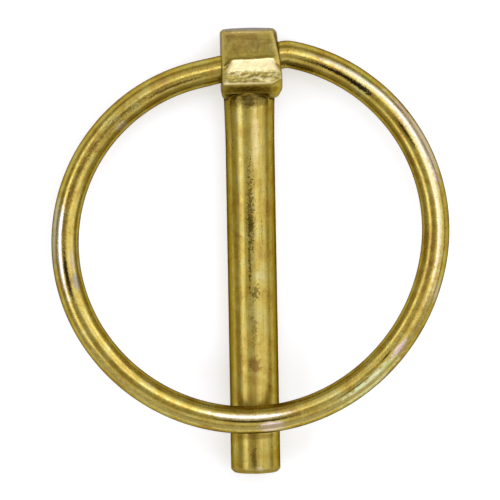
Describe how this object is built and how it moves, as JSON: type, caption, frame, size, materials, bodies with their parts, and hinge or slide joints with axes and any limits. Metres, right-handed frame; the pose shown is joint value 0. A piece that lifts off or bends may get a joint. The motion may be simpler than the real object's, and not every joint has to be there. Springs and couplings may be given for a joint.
{
  "type": "lynch pin",
  "caption": "Lynch pin: a round steel shank with a forged block head, and a spring-wire ring hinged in the head that swings over and rests across the shank.",
  "frame": {"origin": "on the flat back of the head, straight behind the point where the ring's hinge line crosses the pin's axis", "axes": "+Y along the pin towards the head's end, -Y towards the tip; +Z out of the front of the head, where the nose is; +X to the right when the nose is seen from the front"},
  "size_m": [0.0515, 0.0577, 0.0103],
  "materials": {
    "pin": "forged steel, yellow zinc plated",
    "ring": "spring wire, yellow zinc plated"
  },
  "bodies": {
    "pin": {"pin": "pin"},
    "ring": {"ring": "ring"}
  },
  "joints": [
    {"name": "ring_swing", "type": "hinge", "parent": "pin", "child": "ring", "pos_m": [0, 0, 0.00343], "axis": [-0.977, -0.213, 0], "range_deg": [0, 347]}
  ]
}
